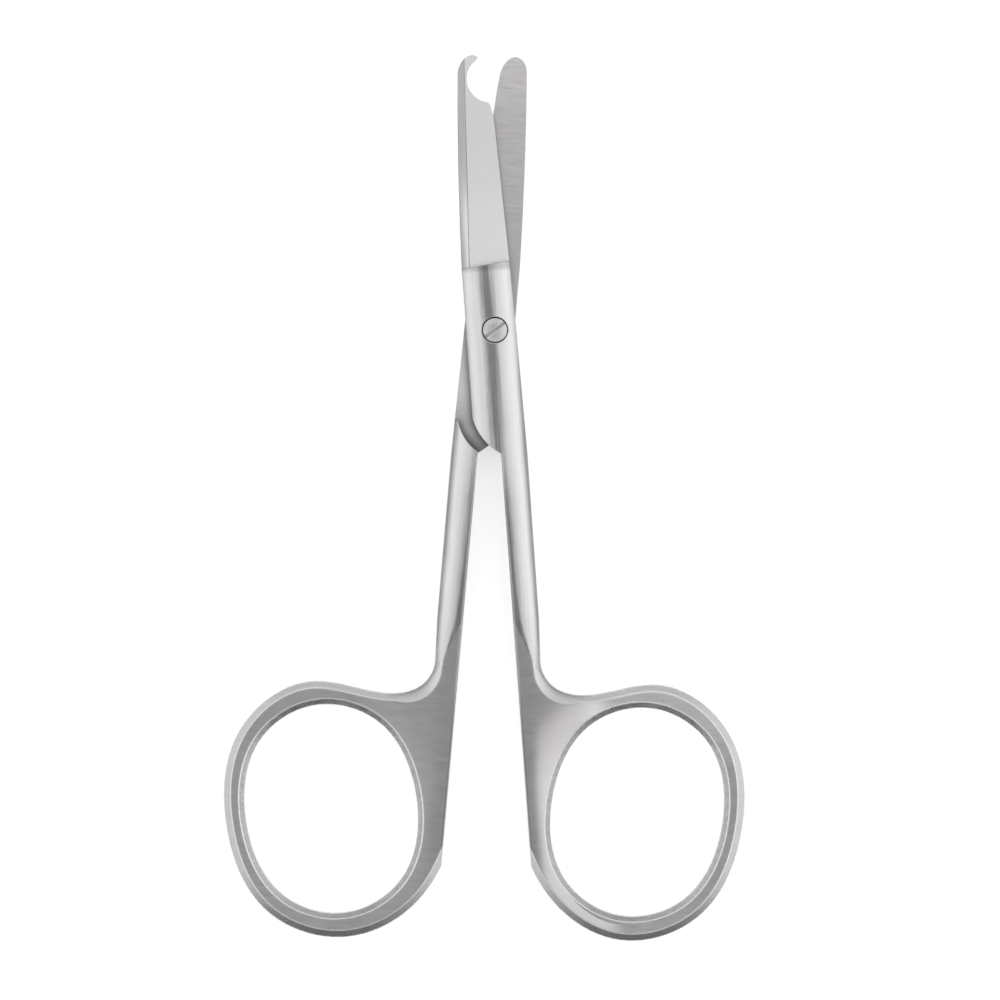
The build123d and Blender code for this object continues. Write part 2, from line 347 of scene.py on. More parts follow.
@dataclass(frozen=True)
class TurnedFinish:
    """Lathe-turned steel, with rings round the pivot axis."""

    name: str
    tone: Tone
    ring_pitch: float = 0.05 * MM
    ring_slope: float = 0.012
    cloud_cycles: float = 900.0
    cloud_detail: float = 3.0
    weights: Pair = (0.12, 0.88)
    edge_radius: float = 0.07 * MM
    edge_highlight: float = 0.50

    def material(self) -> bpy.types.Material:
        """Builds the finish round the Z axis of the piece's own place.

        Returns:
            The new material.
        """
        made, graph = Graph.material(self.name)
        shader = graph.steel_shader()
        place = graph.object_place()
        rings = graph.rings(place, self.ring_pitch)
        cloud = graph.noise(place, (self.cloud_cycles,) * 3, self.cloud_detail)
        shade = graph.weigh(tuple(zip((rings, cloud), self.weights)))
        color = graph.blend_colors(shade, self.tone.dark, self.tone.light)
        soft = graph.soft_edges(self.edge_radius)
        # Painted highlight along the rounded edges.
        color = graph.scaled(color, graph.edge_highlight_share(soft, self.edge_highlight))
        graph.link(color, shader, "Base Color")
        rough = graph.spread(cloud, self.tone.roughness, self.tone.roughness_swing)
        graph.link(rough, shader, "Roughness")
        normal = graph.bump(rings, self.ring_slope * self.ring_pitch, soft)
        graph.link(normal, shader, "Normal")
        return made


class Graph:
    """Adds shader nodes to one node tree and joins them."""

    def __init__(self, tree: bpy.types.NodeTree) -> None:
        """Clears the tree and keeps it.

        Args:
            tree: The tree to build in.
        """
        tree.nodes.clear()
        self.tree = tree

    @classmethod
    def material(cls, name: str) -> tuple[bpy.types.Material, "Graph"]:
        """Starts a node material.

        Args:
            name: Its name.

        Returns:
            The material and the graph that fills it.
        """
        made = bpy.data.materials.new(name)
        made.use_nodes = True
        return made, cls(made.node_tree)

    def add(self, kind: str, **settings: object) -> bpy.types.Node:
        """Adds one node.

        Args:
            kind: Blender's name of the node type.
            **settings: Attributes to set on the node.

        Returns:
            The new node.
        """
        node = self.tree.nodes.new(kind)
        for name, value in settings.items():
            setattr(node, name, value)
        return node

    def link(self, source: Socket, node: bpy.types.Node, name: str | int) -> None:
        """Joins an output to a node's named or numbered input."""
        self.tree.links.new(source, node.inputs[name])

    def steel_shader(self) -> bpy.types.Node:
        """Adds the metal surface shader and the material output.

        Returns:
            The surface shader.
        """
        shader = self.add("ShaderNodeBsdfPrincipled")
        shader.inputs["Metallic"].default_value = 1.0
        output = self.add("ShaderNodeOutputMaterial")
        self.link(shader.outputs[0], output, "Surface")
        return shader

    def object_place(self) -> Socket:
        """Place on the piece in the part's frame."""
        return self.add("ShaderNodeTexCoord").outputs["Object"]

    def turned(self, place: Socket, angle: float) -> Socket:
        """Turns a place about z.

        Args:
            place: The place to turn.
            angle: How far, anticlockwise, in radians.

        Returns:
            The turned place.
        """
        mapping = self.add("ShaderNodeMapping", vector_type="POINT")
        mapping.inputs["Rotation"].default_value = (0.0, 0.0, angle)
        self.link(place, mapping, "Vector")
        return mapping.outputs[0]

    def own_place(self, half: HalfPlace) -> Socket:
        """Place in a half's own frame.

        Args:
            half: Where that frame lies.

        Returns:
            The place, with x out to the handle side and y to the tip.
        """
        mapping = self.add("ShaderNodeMapping", vector_type="POINT")
        mapping.inputs["Rotation"].default_value = (0.0, 0.0, -half.turn)
        mapping.inputs["Location"].default_value = (half.pivot_offset, 0.0, -half.shear_height)
        self.link(self.object_place(), mapping, "Vector")
        return self.changed(mapping.outputs[0], "MULTIPLY", (half.side, 1.0, half.side))

    def changed(self, place: Socket, operation: str, numbers: Triple) -> Socket:
        """A place added to, multiplied or limited by numbers.

        Args:
            place: The place to change.
            operation: Blender's name of the vector operation.
            numbers: One number for each axis.

        Returns:
            The changed place.
        """
        node = self.add("ShaderNodeVectorMath", operation=operation)
        self.link(place, node, 0)
        node.inputs[1].default_value = numbers
        return node.outputs[0]

    def length(self, place: Socket) -> Socket:
        """Measures how far a place lies from its zero point.

        Args:
            place: The place.

        Returns:
            The distance.
        """
        node = self.add("ShaderNodeVectorMath", operation="LENGTH")
        self.link(place, node, 0)
        return node.outputs["Value"]

    def out_from(self, own: Socket, centre: Pair) -> Socket:
        """How far a place lies from the centre of the neck's hollow.

        Towards the tip from that centre it is the distance from the line that runs up from it.

        Args:
            own: Place in the half's own frame.
            centre: Centre of the hollow curve.

        Returns:
            The distance in metres.
        """
        place = self.changed(own, "SUBTRACT", (*centre, 0.0))
        place = self.changed(place, "MINIMUM", (1.0, 0.0, 1.0))
        return self.length(self.changed(place, "MULTIPLY", (1.0, 1.0, 0.0)))

    def oval_place(self, own: Socket, polish: HolePolish) -> Socket:
        """How far out a place lies in the oval of the finger hole.

        Args:
            own: Place in the half's own frame.
            polish: The oval.

        Returns:
            0 at the middle of the hole, 1 at its rim.
        """
        place = self.turned(self.changed(own, "SUBTRACT", (*polish.middle, 0.0)), polish.lean)
        shares = (1.0 / polish.half_width, 1.0 / polish.half_length, 0.0)
        return self.length(self.changed(place, "MULTIPLY", shares))

    def part(self, place: Socket, axis: str) -> Socket:
        """Takes one coordinate of a place.

        Args:
            place: The place.
            axis: Which coordinate, X, Y or Z.

        Returns:
            The coordinate.
        """
        parts = self.add("ShaderNodeSeparateXYZ")
        self.link(place, parts, 0)
        return parts.outputs[axis]

    def joined(self, operation: str, one: Socket, other: Socket) -> Socket:
        """Joins two values into one.

        Args:
            operation: Blender's name of the operation.
            one: The first value.
            other: The second value.

        Returns:
            The result.
        """
        node = self.add("ShaderNodeMath", operation=operation)
        self.link(one, node, 0)
        self.link(other, node, 1)
        return node.outputs[0]

    def product(self, one: Socket, other: Socket) -> Socket:
        """Two values multiplied."""
        return self.joined("MULTIPLY", one, other)

    def scaled(self, color: Socket, share: Socket) -> Socket:
        """Makes a colour lighter or darker.

        Args:
            color: The colour.
            share: What it is multiplied by.

        Returns:
            The new colour.
        """
        node = self.add("ShaderNodeVectorMath", operation="SCALE")
        self.link(color, node, 0)
        self.link(share, node, "Scale")
        return node.outputs[0]

    def rise(
        self, value: Socket, reach: Pair, levels: Pair, kind: str = "SMOOTHSTEP"
    ) -> Socket:
        """Goes from one level to another over a reach of a value.

        Args:
            value: What it depends on.
            reach: Where the rise starts and ends.
            levels: The level before and after it.
            kind: How it goes, smoothly unless told otherwise.

        Returns:
            The level.
        """
        node = self.add("ShaderNodeMapRange", interpolation_type=kind)
        numbers = ("From Min", "From Max", "To Min", "To Max")
        for name, number in zip(numbers, (*reach, *levels)):
            node.inputs[name].default_value = number
        self.link(value, node, "Value")
        return node.outputs[0]

    def ramp(self, value: Socket, reach: Pair, levels: Pair) -> Socket:
        """Goes straight from one level to another over a reach of a value."""
        return self.rise(value, reach, levels, "LINEAR")

    def kept(self, level: Socket, share: Socket) -> Socket:
        """Keeps a level only where a share says so.

        Args:
            level: The level.
            share: 1 where it is kept, 0 where it gives way to a level of 1.

        Returns:
            The new level.
        """
        node = self.add("ShaderNodeMix", data_type="FLOAT")
        node.inputs["A"].default_value = 1.0
        self.link(share, node, "Factor")
        self.link(level, node, "B")
        return node.outputs["Result"]

    def contact(self, reach: float) -> Socket:
        """Painted shade beside a wall or a touching piece, read from ambient occlusion.

        Args:
            reach: How far it goes.

        Returns:
            1 in the open, less in corners.
        """
        node = self.add("ShaderNodeAmbientOcclusion", samples=NODE_SAMPLES)
        node.inputs["Distance"].default_value = reach
        return self.ramp(node.outputs["AO"], CONTACT_REACH, CONTACT_LEVELS)

    def steps(self, value: Socket, stops: Stops) -> Socket:
        """Goes from level to level through a row of stops.

        Args:
            value: What it depends on.
            stops: Each stop's value and level, in rising order.

        Returns:
            The level.
        """
        total: Socket | None = None
        for (start, before), (end, after) in zip(stops, stops[1:]):
            low = before if total is None else 0.0
            change = self.rise(value, (start, end), (low, low + after - before))
            total = change if total is None else self.weigh(((total, 1.0), (change, 1.0)))
        return total

    def direction(self, half: HalfPlace, angle: float) -> Socket:
        """Direction of the lines, as it lies in the world when the piece moves.

        Args:
            half: Where the half's own frame lies.
            angle: Angle of the lines from the half's length, in radians.

        Returns:
            The direction.
        """
        node = self.add(
            "ShaderNodeVectorTransform",
            vector_type="VECTOR",
            convert_from="OBJECT",
            convert_to="WORLD",
        )
        lean = half.turn + half.side * angle
        node.inputs[0].default_value = (-math.sin(lean), math.cos(lean), 0.0)
        return node.outputs[0]

    def noise(self, place: Socket, scale: Triple, detail: float) -> Socket:
        """Cloudy noise.

        Args:
            place: Where it is read.
            scale: Cycles a metre along each axis.
            detail: Octaves of finer noise.

        Returns:
            Its value, about 0 to 1.
        """
        mapping = self.add("ShaderNodeMapping", vector_type="POINT")
        mapping.inputs["Scale"].default_value = scale
        node = self.add("ShaderNodeTexNoise")
        node.inputs["Scale"].default_value = 1.0
        node.inputs["Detail"].default_value = detail
        self.link(place, mapping, "Vector")
        self.link(mapping.outputs[0], node, "Vector")
        return node.outputs["Fac"]

    def streaks(self, place: Socket, pitch: float, length: float) -> Socket:
        """Lines along the place's y axis, a pitch apart and a length long."""
        return self.noise(place, (1.0 / pitch, 1.0 / length, 1.0 / pitch), STREAK_DETAIL)

    def rings(self, place: Socket, pitch: float) -> Socket:
        """Rings round the Z axis.

        Args:
            place: Where they are read.
            pitch: Distance from ring to ring.

        Returns:
            Their value, 0 to 1.
        """
        wave = self.add("ShaderNodeTexWave", wave_type="RINGS", rings_direction="Z")
        wave.inputs["Scale"].default_value = 1.0 / (RINGS_A_UNIT * pitch)
        wave.inputs["Distortion"].default_value = RING_WAVER
        self.link(place, wave, "Vector")
        return wave.outputs["Fac"]

    def weigh(self, parts: tuple[tuple[Socket, float], ...]) -> Socket:
        """Adds up values by their weights.

        Args:
            parts: Each value with its weight.

        Returns:
            The sum.
        """
        total: Socket | None = None
        for value, weight in parts:
            node = self.add("ShaderNodeMath", operation="MULTIPLY_ADD")
            self.link(value, node, 0)
            node.inputs[1].default_value = weight
            node.inputs[2].default_value = 0.0
            if total is not None:
                self.link(total, node, 2)
            total = node.outputs[0]
        return total

    def spread(self, value: Socket, middle: float, swing: float) -> Socket:
        """Turns noise into a number that swings about a middle."""
        return self.ramp(value, NOISE_REACH, (middle - swing, middle + swing))

    def blend_colors(self, share: Socket, low: Triple, high: Triple) -> Socket:
        """Blends two colours by noise.

        Args:
            share: Noise from 0 to 1.
            low: Colour where the noise is low.
            high: Colour where it is high.

        Returns:
            The colour.
        """
        ramp = self.add("ShaderNodeValToRGB")
        for stop, place, color in zip(ramp.color_ramp.elements, COLOR_REACH, (low, high)):
            stop.position, stop.color = place, (*color, 1.0)
        self.link(share, ramp, "Fac")
        return ramp.outputs["Color"]

    def soft_edges(self, radius: Socket | float) -> Socket:
        """Normal that rounds the piece's sharp edges.

        Args:
            radius: Radius of the rounding, the same all over or not.

        Returns:
            The normal.
        """
        node = self.add("ShaderNodeBevel", samples=NODE_SAMPLES)
        if isinstance(radius, float):
            node.inputs["Radius"].default_value = radius
        else:
            self.link(radius, node, "Radius")
        return node.outputs[0]

    def edge_highlight_share(self, soft: Socket, shine: float) -> Socket:
        """Share by which the rounded edges are painted lighter than the faces beside them, a
        painted highlight.

        Args:
            soft: The normal with its rounded edges.
            shine: How much lighter an edge is painted.

        Returns:
            1 on the faces, more along the edges.
        """
        node = self.add("ShaderNodeVectorMath", operation="DOT_PRODUCT")
        self.link(soft, node, 0)
        self.link(self.add("ShaderNodeNewGeometry").outputs["Normal"], node, 1)
        return self.ramp(node.outputs["Value"], EDGE_REACH, (1.0 + shine, 1.0))

    def bump(self, height: Socket, depth: Socket | float, normal: Socket) -> Socket:
        """Raises a surface by a height.

        Args:
            height: Height from 0 to 1.
            depth: What a height of 1 stands for, in metres, the same all over or not.
            normal: The normal to raise from.

        Returns:
            The new normal.
        """
        node = self.add("ShaderNodeBump")
        node.inputs["Strength"].default_value = 1.0
        if isinstance(depth, float):
            node.inputs["Distance"].default_value = depth
        else:
            self.link(depth, node, "Distance")
        self.link(height, node, "Height")
        self.link(normal, node, "Normal")
        return node.outputs[0]


# Painted shade towards the outer edge of the shank and round the neck's hollow.
OUTER_SHADE = Shade(
    Axis.HOLLOW,
    ((3.32 * MM, 0.58), (3.95 * MM, 1.0)),
    ((-39.0 * MM, 0.0), (-36.5 * MM, 1.0), (-6.0 * MM, 1.0), (-2.0 * MM, 0.7)),
)
# Painted highlight over the top of the hooked half's finger ring.
BRIGHT_RING = Shade(
    Axis.ACROSS,
    ((5.5 * MM, 1.0), (9.0 * MM, 1.36)),
    ((-63.0 * MM, 0.35), (-58.0 * MM, 0.0), (-47.0 * MM, 0.0), (-41.5 * MM, 1.0)),
)
# Painted shade along the inner side of the shank.
INNER_SHADE = Shade(
    Axis.ACROSS,
    ((0.3 * MM, 0.74), (1.8 * MM, 1.0)),
    ((-32.4 * MM, 0.6), (-28.5 * MM, 1.0), (-18.0 * MM, 1.0), (-12.6 * MM, 0.0)),
)
# Painted shade at the boss's left edge and below the blade root's step, with the shank's painted
# shade.
SATIN = SteelFinish(
    name="satin_steel",
    tone=Tone(light=(0.665, 0.66, 0.665), dark=(0.615, 0.61, 0.615), roughness=0.23),
    lines=Lines(grain=Grain.ALONG, pitch=0.11 * MM, length=4.0 * MM, slope=0.035),
    edge_radius=0.14 * MM,
    shades=(
        Shade(Axis.ACROSS, ((-2.45 * MM, 0.86), (-2.1 * MM, 1.0))),
        OUTER_SHADE,
        INNER_SHADE,
        Shade(Axis.ALONG, ((5.85 * MM, 1.0), (6.4 * MM, 0.72))),
    ),
)
# Painted shade along the shank, darker towards the neck, with the outer and inner painted shade.
SHANK_SATIN = SteelFinish(
    name="shank_steel",
    tone=Tone(light=(0.665, 0.66, 0.665), dark=(0.615, 0.61, 0.615), roughness=0.23),
    lines=Lines(grain=Grain.ALONG, pitch=0.11 * MM, length=4.0 * MM, slope=0.05),
    edge_radius=0.40 * MM,
    shades=(
        OUTER_SHADE,
        INNER_SHADE,
        Shade(Axis.ALONG, ((-32.4 * MM, 0.93), (-27.0 * MM, 1.0))),
    ),
)
# Painted shade along the web's inner side.
BRUSHED_WEB = WebFinish(
    name="brushed_web_steel",
    tone=Tone((0.68, 0.665, 0.672), (0.61, 0.595, 0.602), roughness=0.29, roughness_swing=0.02),
    lines=Lines(grain=Grain.ACROSS, pitch=0.10 * MM, length=1.6 * MM, slope=0.030),
    edge_radius=0.20 * MM,
    wave_slope=0.010,
    edge_highlight=0.40,
    neck_radius=0.42 * MM,
    shades=(
        Shade(
            Axis.ACROSS,
            ((0.3 * MM, 0.60), (0.45 * MM, 0.86), (3.0 * MM, 0.96), (8.0 * MM, 1.0)),
        ),
    ),
)
# Painted shade and painted highlight round the neck's hollow.
RIM_SATIN = SteelFinish(
    name="rim_steel",
    tone=Tone(light=(0.62, 0.61, 0.615), dark=(0.57, 0.56, 0.565), roughness=0.25),
    lines=Lines(grain=Grain.SLANTED, pitch=0.13 * MM, length=0.9 * MM, slope=0.03),
    edge_radius=0.20 * MM,
    stretch=0.2,
    edge_highlight=0.45,
    neck_radius=0.42 * MM,
    shades=(
        OUTER_SHADE,
        Shade(
            Axis.HOLLOW,
            ((3.45 * MM, 0.74), (4.30 * MM, 1.06)),
            ((-44.0 * MM, 0.0), (-40.0 * MM, 1.0), (-36.0 * MM, 1.0), (-33.0 * MM, 0.0)),
        ),
    ),
)
HOLE_BEVEL = SteelFinish(
    name="hole_bevel_steel",
    tone=Tone(light=(0.80, 0.79, 0.795), dark=(0.72, 0.71, 0.715), roughness=0.28),
    lines=Lines(grain=Grain.SLANTED, pitch=0.13 * MM, length=0.9 * MM, slope=0.03),
    edge_radius=0.20 * MM,
    stretch=0.2,
    edge_highlight=0.15,
)
SIDE_WALL = SteelFinish(
    name="side_wall_steel",
    tone=Tone(light=(0.56, 0.55, 0.555), dark=(0.50, 0.49, 0.495), roughness=0.27),
    lines=Lines(grain=Grain.ALONG, pitch=0.12 * MM, length=2.5 * MM, slope=0.03),
    edge_radius=0.12 * MM,
    stretch=0.2,
)
# Painted light on the ground face, lighter towards the blade's root.
GROUND_BLADE = SteelFinish(
    name="ground_blade_steel",
    tone=Tone(light=(0.75, 0.745, 0.75), dark=(0.71, 0.705, 0.71), roughness=0.47),
    lines=Lines(grain=Grain.ACROSS, pitch=0.10 * MM, length=2.0 * MM, slope=0.05),
    edge_radius=0.06 * MM,
    shades=(Shade(Axis.ALONG, ((8.0 * MM, 1.14), (22.0 * MM, 1.01))),),
)
# Painted shade: the strip is a darker copy of the steel, with painted light near the root and
# along its inner side.
SPINE_STRIP = SteelFinish(
    name="spine_strip_steel",
    tone=Tone(light=(0.45, 0.445, 0.45), dark=(0.41, 0.405, 0.41), roughness=0.36),
    lines=Lines(grain=Grain.ALONG, pitch=0.10 * MM, length=2.5 * MM, slope=0.05),
    edge_radius=0.12 * MM,
    shades=(
        Shade(Axis.ALONG, ((9.0 * MM, 1.25), (19.0 * MM, 0.92))),
        Shade(
            Axis.ACROSS,
            ((-2.5 * MM, 0.62), (-1.45 * MM, 1.40)),
            ((9.0 * MM, 1.0), (18.0 * MM, 0.2)),
        ),
    ),
)
# Painted light and shade along the face, darkest at the joint step and lighter round the joint
# and tip, with painted shade beside the other half's boss.
INNER_FACE = SteelFinish(
    name="inner_face_steel",
    tone=Tone(light=(0.71, 0.695, 0.702), dark=(0.69, 0.675, 0.682), roughness=0.41),
    lines=Lines(grain=Grain.ACROSS, pitch=0.09 * MM, length=1.4 * MM, slope=0.004),
    edge_radius=0.05 * MM,
    wave_slope=0.004,
    contact_shade_reach=0.9 * MM,
    contact_shade_stretch=((-4.0 * MM, 1.0), (4.0 * MM, 0.3)),
    shades=(
        Shade(
            Axis.ALONG,
            (
                (-12.4 * MM, 0.52),
                (-10.0 * MM, 0.86),
                (-6.0 * MM, 1.16),
                (1.0 * MM, 1.08),
                (8.0 * MM, 0.88),
                (19.0 * MM, 0.94),
                (28.0 * MM, 1.10),
            ),
        ),
    ),
)
# Filed steel at the steps, its dark tone partly a painted shadow along the step, with painted
# shade in its corners.
FILED_AND_SHADED_STEP = SteelFinish(
    name="filed_step_shaded_steel",
    tone=Tone(light=(0.40, 0.39, 0.39), dark=(0.26, 0.25, 0.25), roughness=0.42),
    lines=Lines(grain=Grain.SLANTED, pitch=0.16 * MM, length=0.8 * MM, slope=0.15),
    edge_radius=0.05 * MM,
    contact_shade_reach=0.6 * MM,
)
# Painted shadow: the screw's seat is near black to stand for the shade in the gap round the
# head.
SEAT_SHADOW = SteelFinish(
    name="seat_shadow_steel",
    tone=Tone(light=(0.13, 0.125, 0.125), dark=(0.08, 0.078, 0.078), roughness=0.40),
    lines=Lines(grain=Grain.ACROSS, pitch=0.10 * MM, length=1.0 * MM, slope=0.05),
    edge_radius=0.03 * MM,
)
TURNED_HEAD = TurnedFinish(
    name="turned_screw_steel",
    tone=Tone(light=(0.74, 0.73, 0.73), dark=(0.62, 0.61, 0.61), roughness=0.34),
)
SLOT_FLOOR = TurnedFinish(
    name="slot_floor_steel",
    tone=Tone(light=(0.72, 0.71, 0.71), dark=(0.58, 0.57, 0.57), roughness=0.33),
    ring_slope=0.0,
)
HALF_FINISHES: dict[Surface, SteelFinish] = {
    Surface.BODY: SATIN,
    Surface.SHANK: SHANK_SATIN,
    Surface.WEB: BRUSHED_WEB,
    Surface.RIM: RIM_SATIN,
    Surface.HOLE: HOLE_BEVEL,
    Surface.WALL: SIDE_WALL,
    Surface.GROUND: GROUND_BLADE,
    Surface.SPINE: SPINE_STRIP,
    Surface.INNER: INNER_FACE,
    Surface.STEP: FILED_AND_SHADED_STEP,
    Surface.SEAT: SEAT_SHADOW,
}


@dataclass(frozen=True)
class FaceTests:
    """How a half's faces are told apart, by parts of their normals and by small margins.

    Attributes:
        flat: Least upright part of a flat face's normal.
        ground: Least upright part on the ground face of the blade.
        spine_up: Least upright part on the strip along the blade's back.
        spine_out: Greatest part across the half there.
        step_up: Least upright part on the step at the blade's root.
        step_aside: Part across the half that parts steps from other faces.
        filed_forward: Least part towards the tip on the filed joint step.
        wall: Greatest upright part on a side wall.
        flat_reach: How far a face of the shear plane may lie off it.
        filed_drop: How far the filed step lies below the inner face at least.
        filed_reach: How far it goes past the shoulder.
        seat_radius: Outer radius of the screw's seat.
        seat_height: How high the seat reaches.
        shank_reach: How far the shank goes down past the top of the web.
        hole_reach: How far outside the hole's end its bevel reaches.
    """

    flat: float = 0.99
    ground: float = 0.97
    spine_up: float = 0.7
    spine_out: float = -0.2
    step_up: float = 0.3
    step_aside: float = 0.5
    filed_forward: float = 0.02
    wall: float = 0.25
    flat_reach: float = 0.05 * MM
    filed_drop: float = 0.002 * MM
    filed_reach: float = 0.5 * MM
    seat_radius: float = 1.45 * MM
    seat_height: float = 1.3 * MM
    shank_reach: float = 3.0 * MM
    hole_reach: float = 0.4 * MM


@dataclass
class ScissorHalf:
    """One steel half, dressed surface by surface in its own closed-pose frame."""

    half: Half
    opening: float = math.radians(9.25)
    pivot_offset: float = 0.47 * MM
    shear_height: float = 1.45 * MM
    inner_face: float = 0.02 * MM
    blade_root: float = 6.4 * MM
    web_top: float = -29.5 * MM
    shoulder: float = -9.0 * MM
    crotch: float = -13.0 * MM
    tests: FaceTests = FaceTests()
    ring_out: dict[Half, float] = field(
        default_factory=lambda: {Half.HOOKED: 0.53 * MM, Half.PLAIN: 1.05 * MM}
    )
    ring_half_width: float = 10.80 * MM
    ring_y: float = -50.40 * MM
    ring_lean: float = math.radians(13.5)
    hole_half_width: float = 9.32 * MM
    hole_half_length: float = 11.23 * MM
    polish_reach: float = 4.8 * MM
    polish_slope: dict[Half, float] = field(
        default_factory=lambda: {Half.HOOKED: 0.36, Half.PLAIN: 0.08}
    )
    polish_start: Pair = (0.3 * MM, 2.2 * MM)
    polish_side: Pair = (6.0 * MM, 11.0 * MM)
    # Painted highlight on the hooked half's finger ring.
    ring_shades: dict[Half, tuple[Shade, ...]] = field(
        default_factory=lambda: {Half.HOOKED: (BRIGHT_RING,), Half.PLAIN: ()}
    )

    @property
    def side(self) -> float:
        """1 for the half that lies as the pattern does, -1 for the one turned over."""
        return 1.0 if self.half is Half.HOOKED else -1.0

    @property
    def turn(self) -> float:
        """Angle of this half's length from +Y, anticlockwise, in radians."""
        return self.side * self.opening / 2

    @property
    def ring_middle(self) -> Pair:
        """Middle of the finger hole in the half's own frame."""
        return (self.ring_out[self.half] + self.ring_half_width, self.ring_y)

    def own_place(self, point: Vector) -> Vector:
        """Moves a point into the half's own frame.

        Args:
            point: A point in the part's frame.

        Returns:
            The point with x out to the half's own handle side, y to the tip and z away
            from the other half.
        """
        c, s = math.cos(self.turn), math.sin(self.turn)
        x, y = point.x + self.pivot_offset * c, point.y + self.pivot_offset * s
        across, up = x * c + y * s, point.z - self.shear_height
        return Vector((self.side * across, -x * s + y * c, self.side * up))

    def own_normal(self, normal: Vector) -> Vector:
        """Turns a normal into the half's own frame."""
        start = self.own_place(Vector((0.0, 0.0, 0.0)))
        return self.own_place(Vector(normal)) - start

    def frame_place(self) -> HalfPlace:
        """Where the half's own frame lies, for its finishes."""
        return HalfPlace(self.turn, self.side, self.pivot_offset, self.shear_height)

    def finish_of(self, surface: Surface) -> SteelFinish:
        """Finish of a surface, with the web's polish fitted to this half's finger hole and its
        ring's painted highlight.

        Args:
            surface: The kind of surface.

        Returns:
            Its finish.
        """
        finish = HALF_FINISHES[surface]
        if not isinstance(finish, WebFinish):
            return finish
        # The rounding is a parabola, so its mean slope is half its slope at the rim.
        polish = HolePolish(
            middle=self.ring_middle,
            lean=self.ring_lean,
            half_width=self.hole_half_width,
            half_length=self.hole_half_length,
            reach=self.polish_reach,
            fall=self.polish_slope[self.half] * self.polish_reach / 2.0,
            start=self.polish_start,
            side=self.polish_side,
        )
        # The hooked half's ring gets its painted highlight here.
        shades = finish.shades + self.ring_shades[self.half]
        return replace(finish, polish=polish, shades=shades)

    def surface_of(self, place: Vector, normal: Vector) -> Surface:
        """Names the surface a face belongs to.

        Args:
            place: Middle of the face in the half's own frame.
            normal: Its normal there.

        Returns:
            The kind of surface.
        """
        tests = self.tests
        to_pivot = math.hypot(place.x - self.pivot_offset, place.y)
        seated = to_pivot < tests.seat_radius and place.z < tests.seat_height
        # The screw's seat takes the painted shadow.
        if self.half is Half.HOOKED and seated:
            return Surface.SEAT
        off_plane = abs(place.z - self.inner_face)
        if normal.z < -tests.flat and off_plane < tests.flat_reach:
            return Surface.INNER
        filed = normal.y > tests.filed_forward and normal.x < tests.step_aside
        below = place.z < self.inner_face - tests.filed_drop
        if filed and below and self.crotch < place.y < self.shoulder + tests.filed_reach:
            return Surface.STEP
        if place.y > self.blade_root:
            aside = normal.x > tests.step_aside and place.x < 0.0
            if aside and normal.z > tests.step_up:
                return Surface.STEP
            if normal.z > tests.ground:
                return Surface.GROUND
            if normal.z > tests.spine_up and normal.x < tests.spine_out:
                return Surface.SPINE
        if abs(normal.z) < tests.wall:
            return Surface.WALL
        if place.y > self.web_top - tests.shank_reach:
            return Surface.BODY if place.y > self.crotch else Surface.SHANK
        if abs(normal.z) > tests.flat:
            return Surface.WEB
        hole = Vector((*self.ring_middle, place.z))
        near = (place - hole).length < self.hole_half_length + tests.hole_reach
        return Surface.HOLE if near and (hole - place).dot(normal) > 0.0 else Surface.RIM

    def dress(self) -> bpy.types.Object:
        """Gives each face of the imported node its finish.

        Returns:
            The node's object.
        """
        node: bpy.types.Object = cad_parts[self.half.value]
        node.data.materials.clear()
        for surface in Surface:
            made = self.finish_of(surface).material(self.frame_place())
            made.name = f"{self.half.value}_{HALF_FINISHES[surface].name}"
            node.data.materials.append(made)
        for face in node.data.polygons:
            place, normal = self.own_place(face.center), self.own_normal(face.normal)
            face.material_index = self.surface_of(place, normal).value
        return node


@dataclass
class PivotScrew:
    """The slotted screw in the joint."""

    node_name: str = "pivot_screw"
    head: TurnedFinish = TURNED_HEAD
    slot: TurnedFinish = SLOT_FLOOR
    slot_height: Pair = (2.2 * MM, 2.75 * MM)
    flat: float = 0.999

    def dress(self) -> bpy.types.Object:
        """Gives the screw its turned finish, and the floor of the slot its milled one.

        Returns:
            The node's object.
        """
        node: bpy.types.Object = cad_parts[self.node_name]
        node.data.materials.clear()
        for finish in (self.head, self.slot):
            node.data.materials.append(finish.material())
        low, high = self.slot_height
        for face in node.data.polygons:
            face.material_index = int(face.normal.z > self.flat and low < face.center.z < high)
        return node


@dataclass(frozen=True)
class Softbox:
    """One large soft lamp hung above the scissors, facing straight down."""

    name: str
    centre: Triple
    width: float
    depth: float
    radiance: float

    def hang(self) -> bpy.types.Object:
        """Makes the lamp.

        Returns:
            The lamp's object.
        """
        lamp = bpy.data.lights.new(self.name, "AREA")
        lamp.shape = "RECTANGLE"
        lamp.size, lamp.size_y = self.width, self.depth
        lamp.energy = self.radiance * math.pi * self.width * self.depth
        made = bpy.data.objects.new(self.name, lamp)
        made.location = self.centre
        bpy.context.scene.collection.objects.link(made)
        return made


